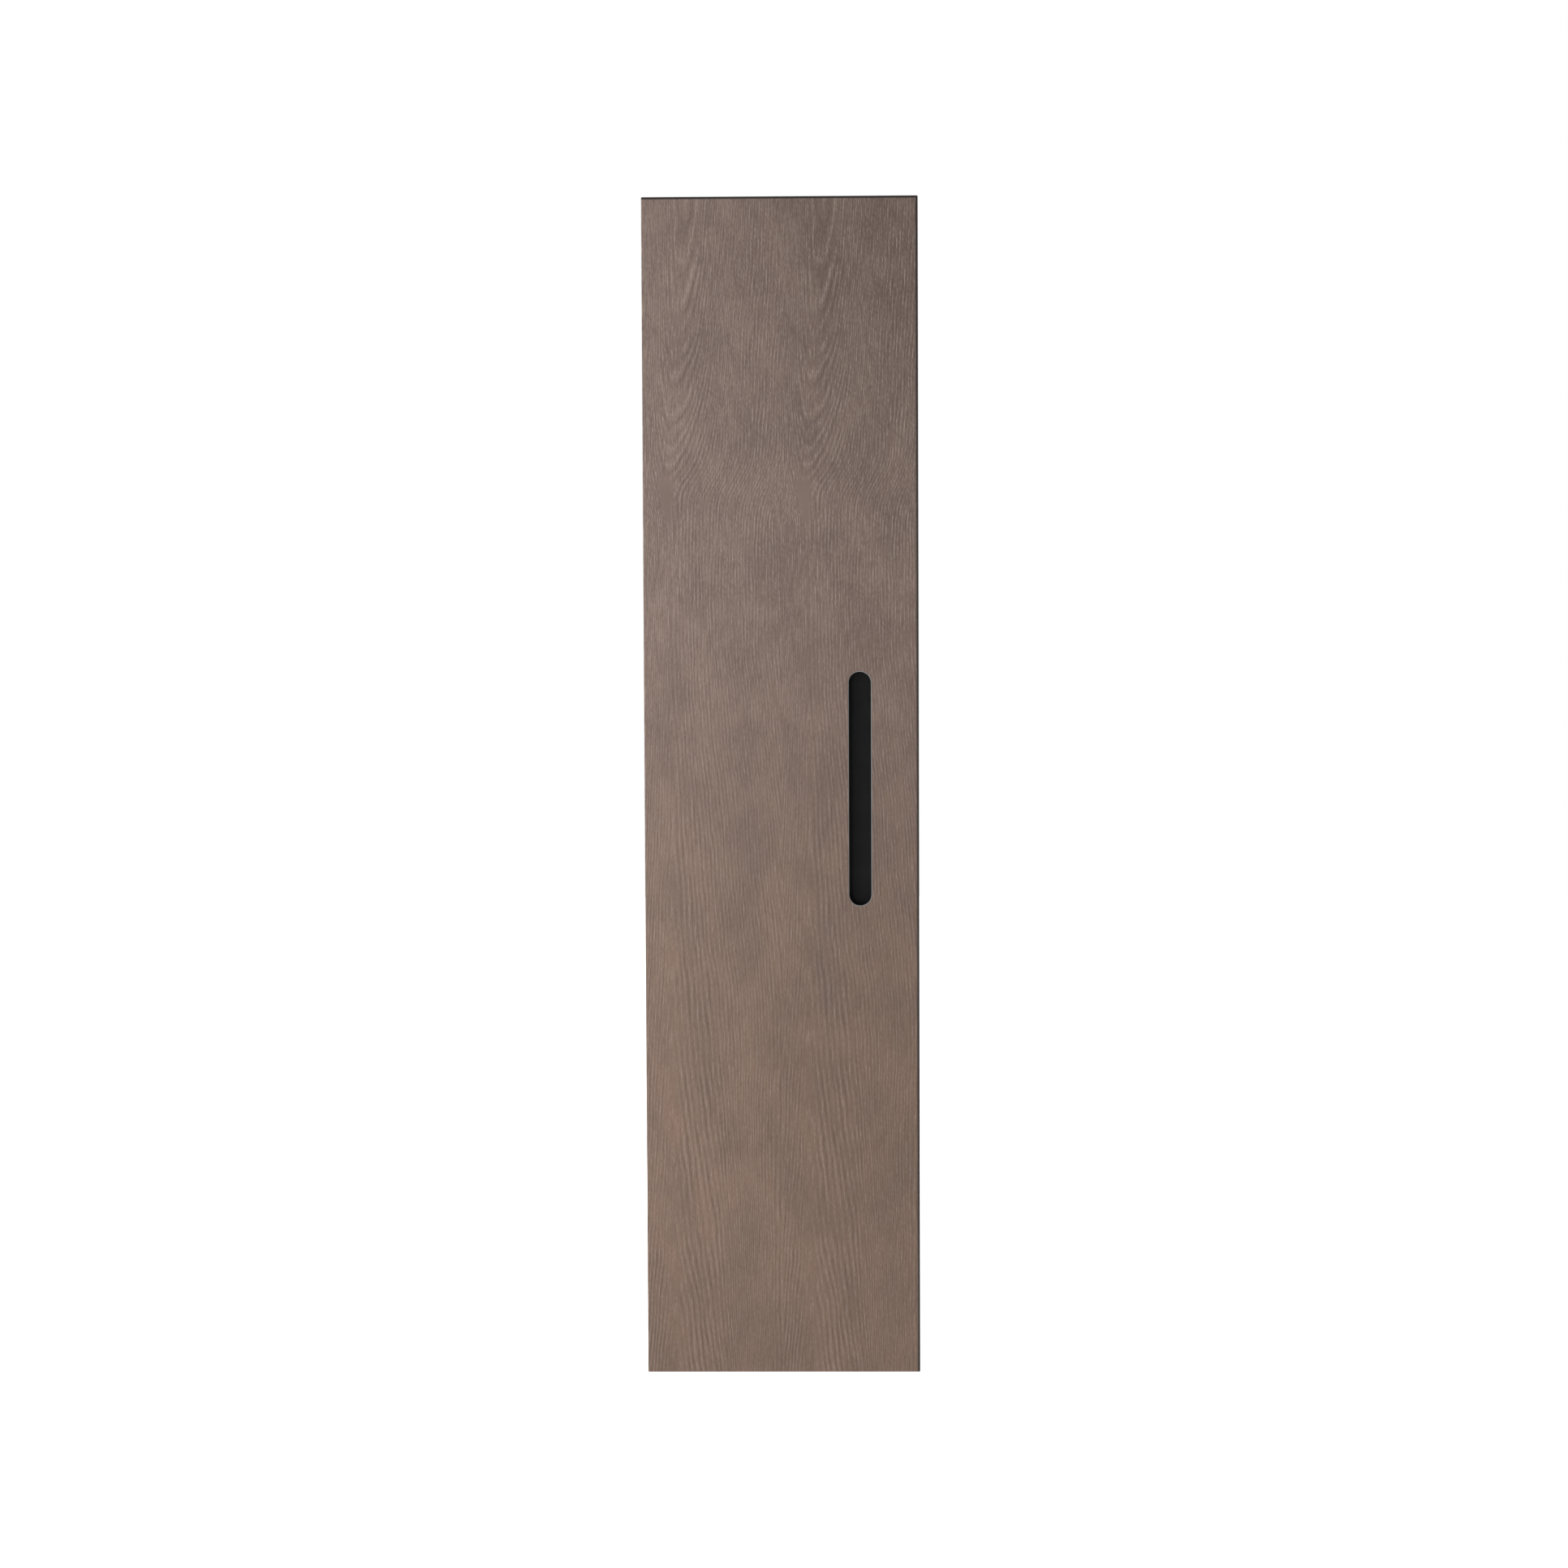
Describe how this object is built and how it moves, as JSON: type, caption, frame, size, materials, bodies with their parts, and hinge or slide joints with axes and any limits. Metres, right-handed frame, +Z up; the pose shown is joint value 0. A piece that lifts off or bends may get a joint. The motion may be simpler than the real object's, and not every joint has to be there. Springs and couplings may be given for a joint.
{
  "type": "wall-mounted bathroom cabinet",
  "caption": "Tall narrow wall cabinet with a full-height hinged oak-veneered door, a black upright finger slot, inner shelves and a hanging rail.",
  "frame": {"origin": "on the wall plane, at the middle of the hanging rail's row of screw holes, 60 mm below the carcass top", "axes": "+X to the right seen from the front, +Y into the wall, +Z up; the door faces -Y"},
  "size_m": [0.35, 0.321, 1.5],
  "materials": {
    "oak_veneer": "grey-brown stained oak veneer, open pored, matt lacquer",
    "oak_foil": "grey-brown oak decor on chipboard, matt",
    "back_board": "grey-brown oak decor on fibreboard, matt",
    "beech": "plain grooved beech",
    "black_handle": "black moulded plastic, satin",
    "black_screws": "black phosphated steel",
    "nickel_steel": "nickel plated pressed steel",
    "bright_steel": "bright zinc plated steel",
    "zinc_steel": "galvanised sheet steel",
    "zinc_casting": "raw zinc die casting",
    "grey_plastic": "light grey moulded plastic",
    "ferrite": "sintered ferrite",
    "clear_rubber": "soft translucent bumper"
  },
  "bodies": {
    "carcass": {"left_side_panel": "oak_foil", "right_side_panel": "oak_foil", "top_panel": "oak_foil", "bottom_panel": "oak_foil", "fixed_shelf": "oak_foil", "shelf_1": "oak_foil", "shelf_2": "oak_foil", "shelf_3": "oak_foil", "shelf_4": "oak_foil", "back_panel": "back_board", "wood_dowels": "beech", "top_hinge_arm": "nickel_steel", "top_hinge_plate": "nickel_steel", "middle_hinge_arm": "nickel_steel", "middle_hinge_plate": "nickel_steel", "bottom_hinge_arm": "nickel_steel", "bottom_hinge_plate": "nickel_steel", "shelf_pins": "nickel_steel", "plate_screws": "bright_steel", "arm_screws": "bright_steel", "catch_screws": "bright_steel", "hanger_screws": "bright_steel", "hanger_adjusters": "bright_steel", "cam_bolts": "bright_steel", "wall_rail": "zinc_steel", "left_hanger_hook": "zinc_steel", "right_hanger_hook": "zinc_steel", "catch_poles": "zinc_steel", "cam_locks": "zinc_casting", "left_hanger_body": "grey_plastic", "right_hanger_body": "grey_plastic", "catch_housing": "grey_plastic", "catch_magnet": "ferrite"},
    "door": {"door_panel": "oak_veneer", "handle_collar": "black_handle", "handle_tray": "black_handle", "handle_tray_screws": "black_screws", "door_bumpers": "clear_rubber", "cup_screws": "bright_steel", "strike_plate": "zinc_steel", "strike_screws": "bright_steel", "top_hinge_cup": "nickel_steel", "top_hinge_pin": "bright_steel", "middle_hinge_cup": "nickel_steel", "middle_hinge_pin": "bright_steel", "bottom_hinge_cup": "nickel_steel", "bottom_hinge_pin": "bright_steel"}
  },
  "joints": [
    {"name": "door_swing", "type": "hinge", "parent": "carcass", "child": "door", "pos_m": [-0.167, -0.3127, -0.689], "axis": [0, 0, -1], "range_deg": [0, 100]}
  ]
}
